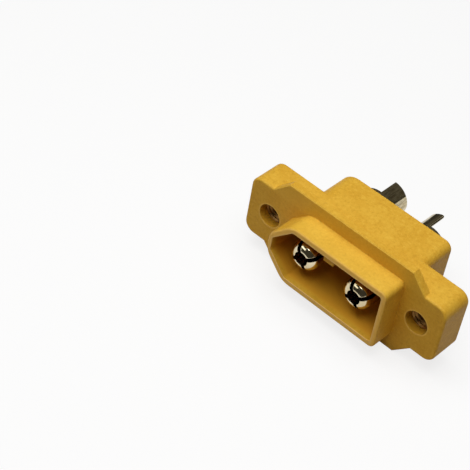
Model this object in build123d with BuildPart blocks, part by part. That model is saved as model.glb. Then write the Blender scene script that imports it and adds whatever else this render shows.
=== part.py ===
from build123d import *
from math import cos, radians, sin, sqrt
import os

# Panel-mount two-pole power plug: a moulded housing with a screw flange, two turned contacts
# with split bullet pins in front and solder cups behind, and two threaded metal inserts.
# Frame: X along the flange, -Y the way the mating plug comes from, +Z up.
# The origin is the centre of the flange's front face, which lies against the panel.

# Driving dimensions in millimetres: the two poles
pin_pitch = 7.2
pin_diameter = 3.5
pin_setback = 0.7
pin_bore = 1.65
pin_dome = 0.8
slot_width = 0.45
slot_depth = 5.4
slot_turn = 27.0
shank_diameter = 4.0
ridge_height = 0.2
ridge_length = 0.8
ring_diameter = 4.5
ring_length = 1.9
cup_diameter = 4.3
cup_length = 2.7
cup_wall = 0.5
cup_floor = 0.6
cup_mouth_break = 0.12
cup_turn = {"left": 0.0, "right": 13.0}

# Flange with a stiffening rib above and below
flange_height = 7.7
flange_thickness = 4.0
flange_corner_round = 1.3
rib_rise = 1.95
rib_thickness = 1.0
rib_length = 16.6
rib_end_run = 1.9
rib_edge_break = 0.12
edge_break = 0.25

# Shroud round the pins, open to the front
shroud_width = 15.4
shroud_height = 7.9
shroud_length = 3.0
shroud_side_wall = 0.55
shroud_top_wall = 0.7
key_wall = 0.65
key_flat = 2.5
key_corner_round = 2.3
square_corner_round = 0.7
cavity_corner_round = 0.35
cavity_depth = 8.2
guide_width = 1.3
guide_height = 0.85
guide_setback = 0.3

# Body behind the flange
body_width = 14.9
body_length = 4.5
body_key_round = 2.1
body_square_round = 1.0

# Panel screws and their inserts
screw_pitch = 20.2
screw_to_end = 3.05
screw_hole = 2.8
insert_diameter = 4.6
insert_length = 2.6
insert_recess = 0.25
insert_chamfer = 0.3
seat_mouth_break = 0.2
thread_core = 2.05

# Clearance of what is pressed into the moulding, on the radius
press_gap = 0.02

# Sizes and places worked out from the ones above
flange_length = screw_pitch + 2 * screw_to_end
rim_y = -shroud_length
floor_y = rim_y + cavity_depth
body_rear_y = flange_thickness + body_length
tip_y = rim_y + pin_setback
ring_end_y = body_rear_y + ring_length
cup_end_y = ring_end_y + cup_length
ridge_y = (floor_y + body_rear_y) / 2
cavity_width = shroud_width - 2 * shroud_side_wall
cavity_height = shroud_height - 2 * shroud_top_wall
cavity_flat = key_flat + 2 * shroud_side_wall - 2 * sqrt(2) * key_wall
insert_seat_y = flange_thickness - insert_recess - insert_length


def facing_front(y):
    """Sketch plane across the mating direction at the given Y, with its normal to the front."""
    return Plane.XZ.offset(-y)


def keyed_section(y, width, height, flat, key_round, square_round):
    """Outline of the two-pole shell. Both corners on the -X side are cut off at 45 degrees, as its
    polarity key, and leave the given flat between them."""
    half_width = width / 2
    half_height = height / 2
    cut = half_height - flat / 2
    with BuildSketch(facing_front(y)) as section:
        with BuildLine():
            Polyline(
                (half_width, -half_height),
                (half_width, half_height),
                (cut - half_width, half_height),
                (-half_width, half_height - cut),
                (-half_width, cut - half_height),
                (cut - half_width, -half_height),
                close=True,
            )
        make_face()
        keyed = section.vertices().filter_by(lambda v: v.X < 0)
        fillet(keyed, radius=key_round)
        square = section.vertices().sort_by(Axis.X)[-2:]
        fillet(square, radius=square_round)
    return section.sketch


os.makedirs("parts", exist_ok=True)

# Flange plate of the housing, with rounded corners and both of its rims broken
with BuildPart() as plate:
    with BuildSketch(facing_front(flange_thickness)):
        RectangleRounded(flange_length, flange_height, flange_corner_round)
    extrude(amount=flange_thickness)
    fillet(plate.faces().filter_by(Axis.Y).edges(), radius=edge_break)

# Stiffening rib: its slanted ends run down into the broken rim of the plate
with BuildPart() as rib:
    with BuildSketch(facing_front(rib_thickness)):
        with BuildLine():
            rib_half = rib_length / 2
            rib_half_height = flange_height / 2 + rib_rise
            foot_height = flange_height / 2 - edge_break
            foot_half = rib_half + rib_end_run * (rib_half_height - foot_height) / rib_rise
            Polyline(
                (rib_half, rib_half_height),
                (foot_half, foot_height),
                (foot_half, -foot_height),
                (rib_half, -rib_half_height),
                (-rib_half, -rib_half_height),
                (-foot_half, -foot_height),
                (-foot_half, foot_height),
                (-rib_half, rib_half_height),
                close=True,
            )
        make_face()
    extrude(amount=rib_thickness)
    chamfer(rib.faces().filter_by(Axis.Y).edges(), length=rib_edge_break)

# Housing: one moulding
with BuildPart() as housing:
    # Body behind the flange, rounder on its keyed side
    with BuildSketch(facing_front(body_rear_y)) as body:
        Rectangle(body_width, flange_height)
        fillet(body.vertices().sort_by(Axis.X)[:2], radius=body_key_round)
        fillet(body.vertices().sort_by(Axis.X)[-2:], radius=body_square_round)
    extrude(amount=body_length + flange_thickness / 2)
    fillet(housing.faces().sort_by(Axis.Y)[-1].edges(), radius=edge_break)

    # Flange, with its rib standing up above and below along the front face
    add(plate.part)
    add(rib.part)

    # Shroud in front
    shroud = keyed_section(
        0, shroud_width, shroud_height, key_flat, key_corner_round, square_corner_round
    )
    extrude(shroud, amount=shroud_length)
    outer_rim = housing.faces().sort_by(Axis.Y)[0].edges()
    fillet(outer_rim, radius=edge_break)

    # Cavity for the mating plug, down to the wall that carries the contacts
    cavity = keyed_section(
        floor_y, cavity_width, cavity_height, cavity_flat, cavity_corner_round, cavity_corner_round
    )
    extrude(cavity, amount=cavity_depth, mode=Mode.SUBTRACT)

    # Guide rib under the middle of the cavity's top wall
    with BuildSketch(facing_front(floor_y)):
        with Locations((0, cavity_height / 2 + shroud_top_wall / 2)):
            Rectangle(guide_width, guide_height + shroud_top_wall / 2, align=(Align.CENTER, Align.MAX))
    extrude(amount=cavity_depth - guide_setback)

    # Seats of the two contacts, each with the groove that its ridge snaps into
    with BuildSketch(facing_front(body_rear_y)):
        with Locations((-pin_pitch / 2, 0), (pin_pitch / 2, 0)):
            Circle(shank_diameter / 2 + press_gap)
    extrude(amount=body_rear_y - floor_y, mode=Mode.SUBTRACT)
    with BuildSketch(facing_front(ridge_y + ridge_length / 2 + press_gap)):
        with Locations((-pin_pitch / 2, 0), (pin_pitch / 2, 0)):
            Circle(shank_diameter / 2 + ridge_height + press_gap)
    extrude(amount=ridge_length + 2 * press_gap, mode=Mode.SUBTRACT)

    # Screw holes, each widened from behind for its insert, with a bevelled mouth
    with BuildSketch(facing_front(flange_thickness)):
        with Locations((-screw_pitch / 2, 0), (screw_pitch / 2, 0)):
            Circle(screw_hole / 2)
    extrude(amount=flange_thickness, mode=Mode.SUBTRACT)
    with BuildSketch(facing_front(flange_thickness)):
        with Locations((-screw_pitch / 2, 0), (screw_pitch / 2, 0)):
            Circle(insert_diameter / 2 + press_gap)
    extrude(amount=flange_thickness - insert_seat_y, mode=Mode.SUBTRACT)
    with BuildSketch(facing_front(flange_thickness)):
        with Locations((-screw_pitch / 2, 0), (screw_pitch / 2, 0)):
            Circle(insert_diameter / 2 + press_gap + seat_mouth_break)
    extrude(amount=seat_mouth_break, taper=45, mode=Mode.SUBTRACT)

housing.part.label = "housing"
export_step(housing.part, "parts/housing.step")

# Contacts: each turned from one bar, with a split bullet pin in front and a solder cup behind.
# The turned profile is drawn through the middle of a petal, clear of the slots.
petal_turn = radians(slot_turn + 45)
petal_side = (cos(petal_turn), 0, sin(petal_turn))
petal_normal = (-sin(petal_turn), 0, cos(petal_turn))

# The cups' open sides face outwards, away from each other
for side, name in ((-1, "left"), (1, "right")):
    axis_x = side * pin_pitch / 2
    with BuildPart() as contact:
        with BuildSketch(Plane(origin=(axis_x, 0, 0), x_dir=petal_side, z_dir=petal_normal)) as profile:
            with BuildLine():
                shank_radius = shank_diameter / 2
                ridge_radius = shank_radius + ridge_height
                Polyline(
                    (0, tip_y),
                    (pin_diameter / 2, tip_y),
                    (pin_diameter / 2, floor_y),
                    (shank_radius, floor_y),
                    (shank_radius, ridge_y - ridge_length / 2),
                    (ridge_radius, ridge_y + ridge_length / 2),
                    (shank_radius, ridge_y + ridge_length / 2),
                    (shank_radius, body_rear_y),
                    (ring_diameter / 2, body_rear_y),
                    (ring_diameter / 2, ring_end_y),
                    (cup_diameter / 2, ring_end_y),
                    (cup_diameter / 2, cup_end_y),
                    (0, cup_end_y),
                    close=True,
                )
            make_face()
            tip_corner = profile.vertices().group_by(Axis.Y)[0].sort_by(Axis((axis_x, 0, 0), petal_side))[-1]
            fillet(tip_corner, radius=pin_dome)
        revolve(axis=Axis((axis_x, 0, 0), (0, 1, 0)))

        # Bore of the pin and the crossed slots that make its four springing petals
        with BuildSketch(facing_front(tip_y + slot_depth)):
            with Locations((axis_x, 0)):
                Circle(pin_bore / 2)
                Rectangle(pin_diameter + slot_width, slot_width, rotation=slot_turn)
                Rectangle(slot_width, pin_diameter + slot_width, rotation=slot_turn)
        extrude(amount=slot_depth, mode=Mode.SUBTRACT)

        # Hollow of the solder cup
        with BuildSketch(facing_front(cup_end_y)):
            with Locations((axis_x, 0)):
                Circle(cup_diameter / 2 - cup_wall)
        extrude(amount=cup_end_y - body_rear_y - cup_floor, mode=Mode.SUBTRACT)

        # Outer half of the cup's wall, cut away to let the wire in
        turn = radians(cup_turn[name])
        open_side = (side * cos(turn), 0, sin(turn))
        with BuildSketch(Plane(origin=(axis_x, cup_end_y, 0), x_dir=open_side, z_dir=(0, -1, 0))):
            with Locations((ring_diameter / 2, 0)):
                Rectangle(ring_diameter, 2 * ring_diameter)
        extrude(amount=cup_length, mode=Mode.SUBTRACT)
        mouth = contact.faces().sort_by(Axis.Y)[-1].edges().filter_by(GeomType.CIRCLE)
        chamfer(mouth, length=cup_mouth_break)

    contact.part.label = f"contact_{name}"
    export_step(contact.part, f"parts/contact_{name}.step")

# Threaded inserts, pressed into the flange from behind
for side, name in ((-1, "left"), (1, "right")):
    with BuildPart() as insert:
        with BuildSketch(facing_front(insert_seat_y + insert_length)):
            with Locations((side * screw_pitch / 2, 0)):
                Circle(insert_diameter / 2)
                Circle(thread_core / 2, mode=Mode.SUBTRACT)
        extrude(amount=insert_length)
        thread_mouths = insert.edges().filter_by(GeomType.CIRCLE).filter_by(
            lambda edge: edge.radius < insert_diameter / 2 - insert_chamfer
        )
        chamfer(thread_mouths, length=insert_chamfer)
    insert.part.label = f"insert_{name}"
    export_step(insert.part, f"parts/insert_{name}.step")
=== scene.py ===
"""Looks of the panel-mount two-pole plug: moulded nylon, turned contacts and threaded inserts,
on a plain white table under a soft overhead lamp."""

from math import asin, cos, degrees, floor, pi, radians, sin, sqrt

import bpy
from mathutils import Matrix, Vector

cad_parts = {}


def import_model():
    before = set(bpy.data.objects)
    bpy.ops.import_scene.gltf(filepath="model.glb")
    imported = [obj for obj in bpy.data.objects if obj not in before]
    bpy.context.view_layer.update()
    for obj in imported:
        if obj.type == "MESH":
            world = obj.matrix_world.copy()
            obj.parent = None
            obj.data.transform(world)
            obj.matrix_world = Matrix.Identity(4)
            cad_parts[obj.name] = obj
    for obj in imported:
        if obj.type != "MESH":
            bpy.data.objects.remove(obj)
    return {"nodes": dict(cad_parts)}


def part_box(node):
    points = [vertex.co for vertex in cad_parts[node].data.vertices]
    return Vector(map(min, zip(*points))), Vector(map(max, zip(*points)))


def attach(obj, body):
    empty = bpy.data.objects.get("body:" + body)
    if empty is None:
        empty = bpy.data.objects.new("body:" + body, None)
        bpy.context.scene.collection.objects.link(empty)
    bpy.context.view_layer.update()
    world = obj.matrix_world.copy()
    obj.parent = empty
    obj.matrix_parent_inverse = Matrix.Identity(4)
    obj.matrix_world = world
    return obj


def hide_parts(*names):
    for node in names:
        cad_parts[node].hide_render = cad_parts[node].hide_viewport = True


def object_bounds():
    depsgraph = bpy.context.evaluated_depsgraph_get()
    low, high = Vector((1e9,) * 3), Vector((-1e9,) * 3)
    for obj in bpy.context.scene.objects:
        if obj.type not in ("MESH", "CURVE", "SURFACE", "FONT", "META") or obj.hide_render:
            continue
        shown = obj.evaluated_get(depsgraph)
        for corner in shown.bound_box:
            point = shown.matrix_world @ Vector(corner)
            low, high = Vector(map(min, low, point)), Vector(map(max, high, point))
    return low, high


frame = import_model()
cad_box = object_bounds()

MM = 0.001

# Camera, from a fit of the part's corners and holes to the photograph. Its picture is 470 pixels wide.
PICTURE_SIZE = 470
FOCAL_PIXELS = 1594.0
SENSOR_MM = 36.0
CAMERA_PLACE_MM = (60.75, -103.59, 114.62)
CAMERA_FORWARD = (-0.4262, 0.5898, -0.6860)
CAMERA_DOWN = (0.5408, -0.4418, -0.7158)

# Shroud and flange: places along Y of the rim, the flange's front and the cavity's floor, half the cavity's
# width and height, how far the key's flats lie out along X and Z together, and the height of the rib's foot
RIM_Y_MM = -3.0
FLANGE_FRONT_Y_MM = 0.0
CAVITY_FLOOR_Y_MM = 5.2
CAVITY_HALF_WIDTH_MM = 7.15
CAVITY_HALF_HEIGHT_MM = 3.25
CAVITY_KEY_MM = 8.03
SCREW_AXIS_MM = 10.1
SCREW_HOLE_RADIUS_MM = 1.4
RIB_FOOT_MM = 3.9

# Insert: an M2.5 thread in a knurled sleeve with plain ends
THREAD_PITCH_MM = 0.45
THREAD_ROOT_MM = 1.25
THREAD_CREST_MM = 1.025
THREAD_CREST_SHARE = 0.1
THREAD_FLANK_SHARE = 0.75
THREAD_CHAMFER_MM = 0.3
THREAD_ROWS = 72
KNURL_DEPTH_MM = 0.07
KNURL_TEETH = 30
KNURL_MARGIN_MM = 0.35
KNURL_STEP_MM = 0.01
SLEEVE_BEVEL_MM = 0.12
INSERT_STEPS = 120
INSERT_SHARP_ANGLE = 0.6

# Contacts: the distance of each axis from the middle, radii, and places along Y counted from the tip
CONTACT_AXIS_MM = 3.6
PIN_RADIUS_MM = 1.75
BORE_RADIUS_MM = 0.825
NOSE_WIDTH_MM = 0.8
NOSE_START_DEG = 13
NOSE_STEPS = 14
NOSE_CROWDING = 1.3
SLOT_WIDTH_MM = 0.45
SLOT_TURN_DEG = 27.0
SLOT_END_MM = 5.4
DARK_END_Y_MM = 5.0
SHANK_RADIUS_MM = 2.0
SHANK_START_MM = 7.5
RIDGE_PLACES_MM = (8.75, 9.55)
RIDGE_HEIGHT_MM = 0.2
RING_RADIUS_MM = 2.25
RING_PLACES_MM = (10.8, 12.7)
CUP_RADII_MM = (1.65, 2.15)
CUP_START_Y_MM = 10.4
CUP_FLOOR_MM = 11.4
CUP_BREAK_MM = 0.12
CUP_TURN_DEG = {"contact_left": 0.0, "contact_right": 13.0}
CENTRE_RADIUS_MM = 0.02
EDGE_EASE_MM = 0.05
CUP_EASE_MM = 0.17
LATHE_STEPS = 144
CONTACT_SHARP_ANGLE = radians(28)

# Steps and easing of the outlines of petals and cups
OUTER_STEP_DEG = 4
INNER_STEP_DEG = 6
SIDE_STEPS = 4
LARGEST_EASE_SHARE = 0.35
EASE_SHARES = (0.15, 0.35, 0.5, 0.65, 0.85)

# Colours of the nylon
NYLON_DULL = (0.735, 0.405, 0.033, 1)
NYLON_BRIGHT = (0.785, 0.455, 0.044, 1)
FLOW_STREAK = (0.70, 0.36, 0.024, 1)
DARK_SPECK = (0.58, 0.29, 0.018, 1)
PALE_SPECK = (0.90, 0.58, 0.08, 1)
# Painted light and shade inside the cavity: brighter at its mouth, darker deeper in and towards its top
CAVITY_MOUTH_PAINTED_LIGHT = (1.0, 0.58, 0.048, 1)
CAVITY_DEEP_PAINTED_SHADE = (0.84, 0.41, 0.030, 1)
CAVITY_TOP_PAINTED_SHADE = (0.58, 0.18, 0.005, 1)
CAVITY_CEILING_PAINTED_SHADE = (0.25, 0.08, 0.004, 1)
# Painted shade on the screw holes' walls, and a painted highlight on their front edges
HOLE_WALL_PAINTED_SHADE = (0.47, 0.23, 0.012, 1)
HOLE_EDGE_PAINTED_HIGHLIGHT = (0.98, 0.66, 0.16, 1)
# Painted light on the rib's front and on the rim, and a painted highlight along the rim's inner edge
RIB_FRONT_PAINTED_LIGHT = (0.98, 0.66, 0.09, 1)
RIM_PAINTED_LIGHT = (1.0, 0.61, 0.13, 1)
RIM_EDGE_PAINTED_HIGHLIGHT = (1.0, 0.67, 0.25, 1)

# Colours of the metals
GOLD_DULL = (0.60, 0.50, 0.30, 1)
GOLD_BRIGHT = (0.78, 0.69, 0.48, 1)
# Painted shade in the pin's bore and slots
GOLD_PAINTED_SHADE = (0.06, 0.04, 0.035, 1)
GOLD_LINE = (0.30, 0.24, 0.13, 1)
STEEL_DULL = (0.45, 0.44, 0.42, 1)
STEEL_BRIGHT = (0.66, 0.65, 0.62, 1)
# Painted shade in the insert's thread
STEEL_PAINTED_SHADE = (0.33, 0.18, 0.055, 1)

# Table, and the share of plain white in what the camera and mirrors see of it
TABLE_REACH_MM = 1500
TABLE_GREYS = ((0.38, 0.315, 0.205, 1), (0.40, 0.335, 0.22, 1))
TABLE_WHITE = (0.98, 0.98, 0.98, 1)
WHITE_SHARE = 0.8
MIRRORED_WHITE_SHARE = 0.3

# Lamp, and the world's even light
LAMP_PLACE_MM = (-10, -18, 165)
LAMP_TARGET_MM = (0, 3, 0)
LAMP_SIZE_MM = (170, 170)
LAMP_WATTS = 0.315
WORLD_COLOUR = (1.0, 0.9, 0.75, 1)
WORLD_STRENGTH = 0.07

# Dark walls and ceiling, and bright windows, that only mirror-like reflections see
ROOM_HALF_MM = 320
WALL_HEIGHT_MM = 300
WALL_MIDDLE_MM = 210
ROOM_COLOUR = (1.0, 0.92, 0.74, 1)
ROOM_STRENGTH = 0.045
WALL_BEHIND_STRENGTH = 0.09
WINDOW_COLOUR = (1.0, 1.0, 0.96, 1)
WINDOW_STRENGTH = 1.6


class Graph:
    """Node graph of one material, with short calls for the nodes used here."""

    def __init__(self, name):
        self.material = bpy.data.materials.new(name)
        self.material.use_nodes = True
        self.tree = self.material.node_tree
        self.shader = self.tree.nodes["Principled BSDF"]
        place = self.node("ShaderNodeTexCoord").outputs["Object"]
        # Textures are laid out in millimetres
        self.place = self.vector("SCALE", place, scale=1 / MM)

    def node(self, kind, **settings):
        made = self.tree.nodes.new(kind)
        for key, value in settings.items():
            setattr(made, key, value)
        return made

    def feed(self, socket, value):
        if isinstance(value, bpy.types.NodeSocket):
            self.tree.links.new(value, socket)
        else:
            socket.default_value = value

    def axes(self):
        """X, Y and Z of the place, in millimetres."""
        made = self.node("ShaderNodeSeparateXYZ")
        self.feed(made.inputs[0], self.place)
        return made.outputs["X"], made.outputs["Y"], made.outputs["Z"]

    def combine(self, x, y, z=0.0):
        made = self.node("ShaderNodeCombineXYZ")
        for key, value in (("X", x), ("Y", y), ("Z", z)):
            self.feed(made.inputs[key], value)
        return made.outputs[0]

    def vector(self, operation, first, second=None, scale=None):
        made = self.node("ShaderNodeVectorMath", operation=operation)
        self.feed(made.inputs[0], first)
        if second is not None:
            self.feed(made.inputs[1], second)
        if scale is not None:
            self.feed(made.inputs["Scale"], scale)
        return made.outputs["Value" if operation in ("LENGTH", "DOT_PRODUCT") else "Vector"]

    def maths(self, operation, first, second=0.0):
        made = self.node("ShaderNodeMath", operation=operation)
        self.feed(made.inputs[0], first)
        self.feed(made.inputs[1], second)
        return made.outputs[0]

    def noise(self, scale, detail=2.0, roughness=0.5, place=None, stretch=None):
        where = place or self.place
        if stretch:
            where = self.vector("MULTIPLY", where, stretch)
        made = self.node("ShaderNodeTexNoise")
        self.feed(made.inputs["Vector"], where)
        for key, value in (("Scale", scale), ("Detail", detail), ("Roughness", roughness)):
            self.feed(made.inputs[key], value)
        return made.outputs["Fac"]

    def spread(self, value, low, high, to_low, to_high):
        """Value eased from one range to another, and kept within it."""
        made = self.node("ShaderNodeMapRange", interpolation_type="SMOOTHSTEP")
        for key, number in (("Value", value), ("From Min", low), ("From Max", high),
                            ("To Min", to_low), ("To Max", to_high)):
            self.feed(made.inputs[key], number)
        return made.outputs["Result"]

    def mix(self, share, first, second):
        made = self.node("ShaderNodeMix", data_type="RGBA")
        for key, value in ((0, share), (6, first), (7, second)):
            self.feed(made.inputs[key], value)
        return made.outputs[2]

    def bump(self, height, distance_mm, strength):
        made = self.node("ShaderNodeBump")
        self.feed(made.inputs["Height"], height)
        self.feed(made.inputs["Distance"], distance_mm * MM)
        self.feed(made.inputs["Strength"], strength)
        return made.outputs["Normal"]

    def finish(self, **sockets):
        for key, value in sockets.items():
            self.feed(self.shader.inputs[key.replace("_", " ")], value)
        return self.material


def nylon():
    """Moulded glass-filled nylon: a fine spark-eroded grain, and slight flow clouds in the colour."""
    g = Graph("moulded_nylon")
    clouds = g.noise(0.32, 3.0)
    streaks = g.noise(0.9, 3.0, stretch=(0.5, 1.6, 1.6))
    specks = g.noise(3.0, 3.0, 0.75)
    grain = g.noise(11.0, 4.0, 0.6)
    colour = g.mix(g.spread(clouds, 0.35, 0.65, 0.0, 1.0), NYLON_DULL, NYLON_BRIGHT)
    colour = g.mix(g.spread(streaks, 0.45, 0.75, 0.0, 0.35), colour, FLOW_STREAK)
    colour = g.mix(g.spread(specks, 0.50, 0.68, 0.0, 0.5), colour, DARK_SPECK)
    colour = g.mix(g.spread(specks, 0.48, 0.32, 0.0, 0.4), colour, PALE_SPECK)
    beyond = beyond_cavity(g)
    # Painted light and shade inside the cavity
    colour = paint_cavity_light_and_shade(g, colour, beyond)
    # Painted shade in the screw holes, and a painted highlight on their edges
    colour = paint_screw_hole_shade_and_highlight(g, colour)
    # Painted light on the rib's front and the rim, and a painted highlight along the rim's inner edge
    colour = paint_front_light_and_highlight(g, colour, beyond)
    g.shader.inputs["Specular IOR Level"].default_value = 0.18
    return g.finish(
        Base_Color=colour,
        Roughness=g.spread(grain, 0.3, 0.7, 0.42, 0.56),
        Normal=g.bump(g.maths("ADD", grain, g.maths("MULTIPLY", specks, 0.8)), 0.02, 0.8),
        IOR=1.5,
    )


def beyond_cavity(g):
    """How far a place lies outside the cavity's keyed outline. It is below 0 inside."""
    x, _, z = g.axes()
    height = g.maths("ABSOLUTE", z)
    beyond_side = g.maths("SUBTRACT", g.maths("ABSOLUTE", x), CAVITY_HALF_WIDTH_MM)
    beyond_top = g.maths("SUBTRACT", height, CAVITY_HALF_HEIGHT_MM)
    beyond_key = g.maths("SUBTRACT", g.maths("SUBTRACT", height, x), CAVITY_KEY_MM)
    return g.maths("MAXIMUM", g.maths("MAXIMUM", beyond_side, beyond_top), beyond_key)


def paint_cavity_light_and_shade(g, colour, beyond):
    """Painted light and shade in the cavity: brighter near its mouth, darker deeper in, and darker and
    browner towards its top.
    """
    _, y, z = g.axes()
    depth = g.spread(y, RIM_Y_MM + 0.1, RIM_Y_MM + 1.1, 0.0, 1.0)
    inside = g.maths("MULTIPLY", g.spread(beyond, 0.03, 0.08, 0.95, 0.0), depth)
    in_front = g.spread(y, CAVITY_FLOOR_Y_MM + 0.1, CAVITY_FLOOR_Y_MM + 0.2, 1.0, 0.0)
    bottom = g.mix(depth, CAVITY_MOUTH_PAINTED_LIGHT, CAVITY_DEEP_PAINTED_SHADE)
    inner = g.mix(g.spread(z, -3.3, 1.2, 0.0, 1.0), bottom, CAVITY_TOP_PAINTED_SHADE)
    inner = g.mix(g.spread(z, 2.6, 3.2, 0.0, 0.7), inner, CAVITY_CEILING_PAINTED_SHADE)
    return g.mix(g.maths("MULTIPLY", inside, in_front), colour, inner)


def paint_screw_hole_shade_and_highlight(g, colour):
    """Painted shade makes the walls of the screw holes darker and browner, and a painted highlight makes
    the front edge of each paler.
    """
    x, y, z = g.axes()
    from_axis = g.combine(g.maths("SUBTRACT", g.maths("ABSOLUTE", x), SCREW_AXIS_MM), z)
    beyond = g.maths("SUBTRACT", g.vector("LENGTH", from_axis), SCREW_HOLE_RADIUS_MM)
    colour = g.mix(g.spread(beyond, 0.005, 0.03, 0.6, 0.0), colour, HOLE_WALL_PAINTED_SHADE)
    on_front = g.spread(y, FLANGE_FRONT_Y_MM, FLANGE_FRONT_Y_MM + 0.12, 0.5, 0.0)
    return g.mix(g.maths("MULTIPLY", g.spread(beyond, 0.08, 0.20, 1.0, 0.0), on_front), colour, HOLE_EDGE_PAINTED_HIGHLIGHT)


def paint_front_light_and_highlight(g, colour, beyond):
    """Painted light makes the upper rib's front a little paler. Painted light makes the rim pale, and a
    painted highlight is strongest along its inner edge.
    """
    _, y, z = g.axes()
    on_front = g.spread(y, FLANGE_FRONT_Y_MM, FLANGE_FRONT_Y_MM + 0.2, 1.0, 0.0)
    on_rib = g.maths("MULTIPLY", on_front, g.spread(z, RIB_FOOT_MM - 0.7, RIB_FOOT_MM, 0.0, 0.26))
    colour = g.mix(on_rib, colour, RIB_FRONT_PAINTED_LIGHT)
    on_rim = g.spread(y, RIM_Y_MM + 0.15, RIM_Y_MM + 0.02, 0.0, 1.0)
    colour = g.mix(g.maths("MULTIPLY", on_rim, 0.9), colour, RIM_PAINTED_LIGHT)
    on_edge = g.maths("MULTIPLY", on_rim, g.spread(beyond, 0.10, 0.28, 0.6, 0.0))
    return g.mix(on_edge, colour, RIM_EDGE_PAINTED_HIGHLIGHT)


def turned_metal(name, axis_mm, bore_mm, slot_mm, shade_end_mm, dull, bright, shade, roughness, groove_mm):
    """Metal turned on a lathe along Y, with an axis at each side. Fine grooves run round the sides and as
    rings on the end faces. The bore and slots are rougher and get painted shade, as far back as given."""
    g = Graph(name)
    x, y, z = g.axes()
    off_axis = g.maths("SUBTRACT", x, g.maths("MULTIPLY", g.maths("SIGN", x), axis_mm))
    flat = g.combine(off_axis, z)
    from_axis = g.vector("LENGTH", flat)
    grooves = g.noise(14.0, 2.0, 0.7, place=g.combine(y, from_axis))
    tarnish = g.noise(0.8, 4.0, 0.6)
    scuffs = g.noise(3.0, 3.0, 0.6, stretch=(1.0, 0.25, 1.0))
    colour = g.mix(g.spread(tarnish, 0.35, 0.7, 0.0, 1.0), bright, dull)

    # Painted shade in the bore and the slots, which are also made rougher
    dark = g.spread(from_axis, bore_mm - 0.02, bore_mm + 0.03, 1.0, 0.0)
    if slot_mm:
        turn = radians(SLOT_TURN_DEG)
        for along, up in ((cos(turn), sin(turn)), (-sin(turn), cos(turn))):
            off_slot = g.maths("ABSOLUTE", g.vector("DOT_PRODUCT", flat, (along, up, 0)))
            in_slot = g.spread(off_slot, slot_mm / 2 + 0.002, slot_mm / 2 + 0.012, 1.0, 0.0)
            dark = g.maths("MAXIMUM", dark, in_slot)
    dark = g.maths("MULTIPLY", dark, g.spread(y, shade_end_mm, shade_end_mm + 0.1, 1.0, 0.0))
    colour = g.mix(dark, colour, shade)

    # Fine drawn lines along the sides of the solder cup
    round_axis = g.vector("SCALE", g.vector("NORMALIZE", flat), scale=9.0)
    around = g.vector("DOT_PRODUCT", round_axis, (1, 0, 0)), g.vector("DOT_PRODUCT", round_axis, (0, 1, 0))
    lines = g.noise(1.6, 3.0, 0.7, place=g.combine(*around, g.maths("MULTIPLY", y, 0.3)))
    on_cup = g.spread(y, CUP_START_Y_MM, CUP_START_Y_MM + 0.2, 0.0, 1.0)
    colour = g.mix(g.maths("MULTIPLY", g.spread(lines, 0.42, 0.6, 0.0, 0.75), on_cup), colour, GOLD_LINE)

    scuffed = g.spread(scuffs, 0.4, 0.75, 0.0, 0.12)
    rough = g.maths("ADD", scuffed, g.spread(tarnish, 0.4, 0.8, roughness, roughness + 0.1))
    return g.finish(
        Base_Color=colour,
        Metallic=1.0,
        Roughness=g.maths("ADD", rough, g.maths("MULTIPLY", dark, 0.2)),
        Normal=g.bump(grooves, groove_mm, 0.5),
    )


def plain_floor():
    """Pale table. The camera, mirrors and glass see it nearly white, with the object's shadow on it."""
    g = Graph("pale_table")
    grey = g.mix(g.spread(g.noise(0.05, 2.0), 0.3, 0.7, 0.0, 1.0), *TABLE_GREYS)
    path = g.node("ShaderNodeLightPath").outputs
    mirrored = g.maths("MAXIMUM", path["Is Glossy Ray"], path["Is Transmission Ray"])
    seen = g.maths("MAXIMUM", path["Is Camera Ray"], mirrored)
    g.finish(Base_Color=g.mix(seen, grey, TABLE_WHITE), Roughness=0.8)
    white = g.node("ShaderNodeEmission")
    white.inputs["Strength"].default_value = 1.0
    camera_share = g.maths("MULTIPLY", path["Is Camera Ray"], WHITE_SHARE)
    mirror_share = g.maths("MULTIPLY", mirrored, MIRRORED_WHITE_SHARE)
    blend = g.node("ShaderNodeMixShader")
    g.feed(blend.inputs[0], g.maths("MAXIMUM", camera_share, mirror_share))
    g.feed(blend.inputs[1], g.shader.outputs[0])
    g.feed(blend.inputs[2], white.outputs[0])
    g.feed(g.tree.nodes["Material Output"].inputs["Surface"], blend.outputs[0])
    return g.material


def glow(name, colour, strength):
    """What mirrors see of the dark room or of a window in it."""
    g = Graph(name)
    light = g.node("ShaderNodeEmission")
    light.inputs["Color"].default_value = colour
    light.inputs["Strength"].default_value = strength
    g.feed(g.tree.nodes["Material Output"].inputs["Surface"], light.outputs[0])
    return g.material


def mesh_object(name, vertices, faces, material, smooth=True):
    """New object from vertices in millimetres."""
    mesh = bpy.data.meshes.new(name)
    mesh.from_pydata([[c * MM for c in v] for v in vertices], [], faces)
    mesh.materials.append(material)
    if smooth:
        mesh.shade_smooth()
    made = bpy.data.objects.new(name, mesh)
    bpy.context.scene.collection.objects.link(made)
    return made


def bands(loops, count, closed=False):
    """Faces that join neighbouring loops of points, and also the last loop to the first where closed."""
    faces = []
    for row in range(loops if closed else loops - 1):
        here, there = row * count, (row + 1) % loops * count
        for t in range(count):
            after = (t + 1) % count
            faces.append((here + t, here + after, there + after, there + t))
    return faces


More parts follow.
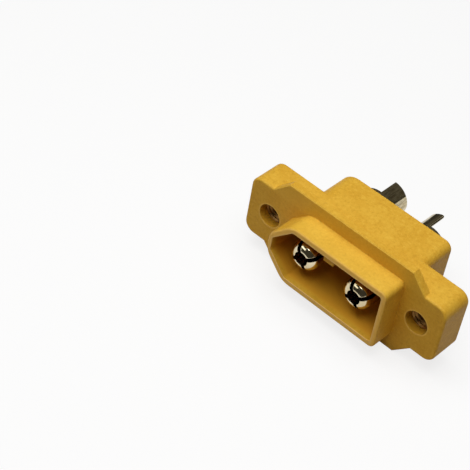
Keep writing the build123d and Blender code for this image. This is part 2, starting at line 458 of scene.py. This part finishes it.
def threaded_insert(node, material):
    """Knurled sleeve with an internal thread, in the place and form of the insert's own solid."""
    low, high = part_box(node)
    length = (high.y - low.y) / MM
    outer = (high.x - low.x) / MM / 2
    axis_x = (high.x + low.x) / MM / 2
    front = low.y / MM
    mouth = THREAD_CREST_MM + THREAD_CHAMFER_MM

    def bore_radius(y, turn):
        phase = y / THREAD_PITCH_MM - turn
        saw = abs(2 * (phase - floor(phase)) - 1)
        flank = min(1.0, max(0.0, (saw - THREAD_CREST_SHARE) / THREAD_FLANK_SHARE))
        radius = THREAD_CREST_MM + (THREAD_ROOT_MM - THREAD_CREST_MM) * flank
        return max(radius, mouth - y, mouth - (length - y))

    def sleeve_radius(y, turn):
        edge = min(y, length - y)
        if edge < KNURL_MARGIN_MM:
            return outer - max(0.0, SLEEVE_BEVEL_MM - edge)
        ridge = abs(sin(pi * KNURL_TEETH * turn))
        return outer - KNURL_DEPTH_MM * (1 - ridge)

    bore_rows = [length * i / THREAD_ROWS for i in range(THREAD_ROWS + 1)]
    end_rows = [0.0, SLEEVE_BEVEL_MM, KNURL_MARGIN_MM, KNURL_MARGIN_MM + KNURL_STEP_MM]
    sleeve_rows = end_rows + [length / 2] + [length - y for y in reversed(end_rows)]
    turns = [t / INSERT_STEPS for t in range(INSERT_STEPS)]
    loops = [[(bore_radius(y, turn), y, turn) for turn in turns] for y in bore_rows]
    loops += [[(sleeve_radius(y, turn), y, turn) for turn in turns] for y in reversed(sleeve_rows)]
    vertices = [
        (axis_x + radius * cos(2 * pi * turn), front + y, radius * sin(2 * pi * turn))
        for loop in loops for radius, y, turn in loop
    ]
    faces = [(a, d, c, b) for a, b, c, d in bands(len(loops), INSERT_STEPS, closed=True)]
    made = mesh_object(node + "_threaded", vertices, faces, material)
    made.data.set_sharp_from_angle(angle=INSERT_SHARP_ANGLE)
    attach(made, "root")
    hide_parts(node)


def lathe(profile, steps):
    """Vertices and faces of a closed profile of (radius, y) points turned round the Y axis."""
    angles = [2 * pi * t / steps for t in range(steps)]
    vertices = [(radius * cos(angle), y, radius * sin(angle)) for radius, y in profile for angle in angles]
    faces = bands(len(profile), steps)
    last = (len(profile) - 1) * steps
    faces.append(tuple(range(steps)))
    faces.append(tuple(range(last + steps - 1, last - 1, -1)))
    return vertices, faces


def sector_outline(inner, outer, gap, span, ease):
    """Outline of a ring's sector with eased corners. Its two straight sides lie parallel to the lines at
    0 and span degrees, each moved inwards by the gap."""
    ease = min(ease, LARGEST_EASE_SHARE * (outer - inner))

    def point(radius, angle):
        return Vector((radius * cos(radians(angle)), radius * sin(radians(angle))))

    def side_angle(radius):
        return degrees(asin(gap / radius))

    def arc(radius, count):
        start = side_angle(radius) + degrees(ease / radius)
        stop = span - start
        return [point(radius, stop + (start - stop) * i / count) for i in range(count + 1)]

    def side(far):
        width = outer - inner - 2 * ease
        radii = [outer - ease - width * i / SIDE_STEPS for i in range(SIDE_STEPS + 1)]
        return [point(r, span - side_angle(r) if far else side_angle(r)) for r in radii]

    parts = (
        list(reversed(arc(outer, int(span / OUTER_STEP_DEG)))),
        side(far=True),
        arc(inner, int(span / INNER_STEP_DEG)),
        list(reversed(side(far=False))),
    )
    corners = (
        point(outer, span - side_angle(outer)),
        point(inner, span - side_angle(inner)),
        point(inner, side_angle(inner)),
        point(outer, side_angle(outer)),
    )
    outline = []
    for i, part in enumerate(parts):
        outline += part
        start, stop = part[-1], parts[(i + 1) % 4][0]
        for share in EASE_SHARES:
            rest = 1 - share
            outline.append(start * rest ** 2 + corners[i] * 2 * share * rest + stop * share ** 2)
    return outline


def sector_solid(stations, span, turn, ease):
    """Vertices and faces of a ring's sector that runs along Y through stations of (y, inner, outer, gap),
    turned by the given degrees round the axis."""
    vertices = []
    angle = radians(turn)
    for y, inner, outer, gap in stations:
        outline = sector_outline(inner, outer, gap, span, ease)
        for flat in outline:
            vertices.append((
                flat.x * cos(angle) - flat.y * sin(angle),
                y,
                flat.x * sin(angle) + flat.y * cos(angle),
            ))
    count = len(outline)
    faces = bands(len(stations), count)
    last = (len(stations) - 1) * count
    faces.append(tuple(range(count - 1, -1, -1)))
    faces.append(tuple(range(last, last + count)))
    return vertices, faces


def petal_stations(tip):
    """Stations of a petal of the split pin: a domed nose, with eased edges along the slots and the bore."""
    stations = []
    nose_radius = NOSE_WIDTH_MM / (1 - sin(radians(NOSE_START_DEG)))
    for step in range(NOSE_STEPS + 1):
        angle = radians(NOSE_START_DEG + (90 - NOSE_START_DEG) * (step / NOSE_STEPS) ** NOSE_CROWDING)
        y = nose_radius * (cos(radians(NOSE_START_DEG)) - cos(angle))
        outer = PIN_RADIUS_MM - nose_radius * (1 - sin(angle))
        depth = max(0.0, 1 - y / EDGE_EASE_MM)
        ease = EDGE_EASE_MM * (1 - sqrt(1 - depth * depth))
        stations.append((tip + y, BORE_RADIUS_MM + ease, outer, SLOT_WIDTH_MM / 2 + ease))
    stations.append((tip + SLOT_END_MM, BORE_RADIUS_MM, PIN_RADIUS_MM, SLOT_WIDTH_MM / 2))
    return stations


def turned_contact(node, material):
    """Split bullet pin, shank, ring and solder cup, in the place and form of the contact's own solid."""
    low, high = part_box(node)
    axis_x = (low.x + high.x) / 2 / MM
    tip, end = low.y / MM, high.y / MM
    petal = petal_stations(tip)
    solids = [sector_solid(petal, 90, SLOT_TURN_DEG + 90 * k, EDGE_EASE_MM) for k in range(4)]

    # Pin behind the slots, shank with its ridge, and the ring with the cup's round floor
    ring_start, ring_end = (tip + place for place in RING_PLACES_MM)
    ridge_start, ridge_end = (tip + place for place in RIDGE_PLACES_MM)
    bevel = EDGE_EASE_MM
    hollow, cup_outer = CUP_RADII_MM
    solids.append(lathe([
        (CENTRE_RADIUS_MM, tip + SLOT_END_MM),
        (PIN_RADIUS_MM, tip + SLOT_END_MM),
        (PIN_RADIUS_MM, tip + SHANK_START_MM),
        (SHANK_RADIUS_MM, tip + SHANK_START_MM),
        (SHANK_RADIUS_MM, ridge_start),
        (SHANK_RADIUS_MM + RIDGE_HEIGHT_MM, ridge_end),
        (SHANK_RADIUS_MM, ridge_end),
        (SHANK_RADIUS_MM, ring_start),
        (RING_RADIUS_MM - bevel, ring_start),
        (RING_RADIUS_MM, ring_start + bevel),
        (RING_RADIUS_MM, ring_end - bevel),
        (RING_RADIUS_MM - bevel, ring_end),
        (hollow, ring_end),
        (hollow, tip + CUP_FLOOR_MM),
        (CENTRE_RADIUS_MM, tip + CUP_FLOOR_MM),
    ], LATHE_STEPS))

    # Half of the cup's wall
    outwards = 180 if axis_x < 0 else 0
    cup = [
        (ring_end, hollow, cup_outer, 0.0),
        (end - CUP_BREAK_MM, hollow, cup_outer, 0.0),
        (end, hollow + CUP_BREAK_MM, cup_outer - CUP_BREAK_MM, 0.0),
    ]
    lean = CUP_TURN_DEG[node] if axis_x > 0 else -CUP_TURN_DEG[node]
    solids.append(sector_solid(cup, 180, outwards + 90 + lean, CUP_EASE_MM))

    vertices, faces = [], []
    for solid_vertices, solid_faces in solids:
        start = len(vertices)
        vertices += [(axis_x + x, y, z) for x, y, z in solid_vertices]
        faces += [tuple(start + i for i in face) for face in solid_faces]
    made = mesh_object(node + "_turned", vertices, faces, material)
    made.data.set_sharp_from_angle(angle=CONTACT_SHARP_ANGLE)
    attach(made, "root")
    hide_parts(node)


def aim(made, place_mm, target_mm, axis):
    """Put an object in its place, with the given one of its axes towards the target."""
    made.location = Vector(place_mm) * MM
    made.rotation_euler = (Vector(target_mm) - Vector(place_mm)).to_track_quat(axis, "Y").to_euler()


def area_lamp(name, place_mm, target_mm, size_mm, watts):
    lamp = bpy.data.lights.new(name, "AREA")
    lamp.shape = "RECTANGLE"
    lamp.size, lamp.size_y = size_mm[0] * MM, size_mm[1] * MM
    lamp.energy = watts
    made = bpy.data.objects.new(name, lamp)
    bpy.context.scene.collection.objects.link(made)
    aim(made, place_mm, target_mm, "-Z")
    made.visible_camera = False


def card(name, place_mm, target_mm, size_mm, material):
    """Flat card that faces the target, and that only mirror-like reflections see."""
    w, h = size_mm[0] / 2, size_mm[1] / 2
    corners = [(-w, -h, 0), (w, -h, 0), (w, h, 0), (-w, h, 0)]
    made = mesh_object(name, corners, [(0, 1, 2, 3)], material, smooth=False)
    aim(made, place_mm, target_mm, "Z")
    made.visible_camera = False
    made.visible_diffuse = False
    made.visible_shadow = False
    made.visible_transmission = False


def room():
    """Dark walls and ceiling round the table, low screens beside the contacts, and two windows."""
    dim = glow("dim_room", ROOM_COLOUR, ROOM_STRENGTH)
    dim_behind = glow("dim_wall_behind", ROOM_COLOUR, WALL_BEHIND_STRENGTH)
    window = glow("window", WINDOW_COLOUR, WINDOW_STRENGTH)
    for name, side_x, side_y, shade in (
        ("card_front", 0, -1, dim),
        ("card_behind", 0, 1, dim_behind),
        ("card_left", -1, 0, dim),
        ("card_right", 1, 0, dim),
    ):
        place = (side_x * ROOM_HALF_MM, side_y * ROOM_HALF_MM, WALL_MIDDLE_MM)
        card(name, place, (0, 0, WALL_MIDDLE_MM), (ROOM_HALF_MM * 2, WALL_HEIGHT_MM), shade)
    ceiling = (0, 0, WALL_MIDDLE_MM + WALL_HEIGHT_MM / 2)
    card("card_above", ceiling, (0, 0.01, 0), (ROOM_HALF_MM * 2, ROOM_HALF_MM * 2), dim)
    card("screen_left", (-17, 30, 1), (-17, 0, 1), (40, 9.8), dim)
    card("screen_right", (11.8, 19, -1.4), (11.8, 0, -1.4), (8.4, 5), dim)
    card("screen_front", (3, -18, 2), (3, 0, 2), (34, 11.8), dim)
    card("window_front", (-150, -220, 150), (0, 0, 0), (200, 90), window)
    card("window_side", (-180, -120, 190), (0, 0, 0), (60, 90), window)


def table():
    """Table top that touches the part's lowest point."""
    z = cad_box[0].z / MM
    reach = TABLE_REACH_MM
    corners = [(-reach, -reach, z), (reach, -reach, z), (reach, reach, z), (-reach, reach, z)]
    mesh_object("table", corners, [(0, 1, 2, 3)], plain_floor(), smooth=False)


def camera():
    data = bpy.data.cameras.new("camera")
    data.sensor_width = SENSOR_MM
    data.lens = FOCAL_PIXELS * SENSOR_MM / PICTURE_SIZE
    data.clip_start, data.clip_end = 5 * MM, 5000 * MM
    made = bpy.data.objects.new("camera", data)
    bpy.context.scene.collection.objects.link(made)
    forward = Vector(CAMERA_FORWARD).normalized()
    down = Vector(CAMERA_DOWN)
    down = (down - forward * down.dot(forward)).normalized()
    right = down.cross(forward)
    turn = Matrix((right, -down, -forward)).transposed()
    made.matrix_world = Matrix.Translation(Vector(CAMERA_PLACE_MM) * MM) @ turn.to_4x4()
    bpy.context.scene.camera = made


def world():
    """Even studio light. The camera, mirrors and glass see plain white."""
    made = bpy.data.worlds.new("studio")
    bpy.context.scene.world = made
    made.use_nodes = True
    tree = made.node_tree
    output = tree.nodes["World Output"]
    light = tree.nodes["Background"]
    light.inputs["Color"].default_value = WORLD_COLOUR
    light.inputs["Strength"].default_value = WORLD_STRENGTH
    backdrop = tree.nodes.new("ShaderNodeBackground")
    backdrop.inputs["Strength"].default_value = 1.0
    path = tree.nodes.new("ShaderNodeLightPath")
    seen = path.outputs["Is Camera Ray"]
    for kind in ("Is Glossy Ray", "Is Transmission Ray"):
        either = tree.nodes.new("ShaderNodeMath")
        either.operation = "MAXIMUM"
        tree.links.new(seen, either.inputs[0])
        tree.links.new(path.outputs[kind], either.inputs[1])
        seen = either.outputs[0]
    choice = tree.nodes.new("ShaderNodeMixShader")
    tree.links.new(seen, choice.inputs[0])
    tree.links.new(light.outputs[0], choice.inputs[1])
    tree.links.new(backdrop.outputs[0], choice.inputs[2])
    tree.links.new(choice.outputs[0], output.inputs["Surface"])


def dress(node, material):
    mesh = frame["nodes"][node].data
    mesh.materials.clear()
    mesh.materials.append(material)


camera()
world()
bpy.context.scene.view_settings.view_transform = "Standard"

dress("housing", nylon())
gold = turned_metal(
    "pale_gold_plate",
    axis_mm=CONTACT_AXIS_MM,
    bore_mm=BORE_RADIUS_MM,
    slot_mm=SLOT_WIDTH_MM,
    shade_end_mm=DARK_END_Y_MM,
    dull=GOLD_DULL,
    bright=GOLD_BRIGHT,
    shade=GOLD_PAINTED_SHADE,
    roughness=0.06,
    groove_mm=0.0005,
)
for contact in ("contact_left", "contact_right"):
    dress(contact, gold)
    turned_contact(contact, gold)
steel = turned_metal(
    "insert_steel",
    axis_mm=SCREW_AXIS_MM,
    bore_mm=THREAD_ROOT_MM + 0.2,
    slot_mm=0.0,
    shade_end_mm=3.4,
    dull=STEEL_DULL,
    bright=STEEL_BRIGHT,
    shade=STEEL_PAINTED_SHADE,
    roughness=0.18,
    groove_mm=0.002,
)
for insert in ("insert_left", "insert_right"):
    dress(insert, steel)
    threaded_insert(insert, steel)

table()
area_lamp("overhead_lamp", LAMP_PLACE_MM, LAMP_TARGET_MM, LAMP_SIZE_MM, LAMP_WATTS)
room()
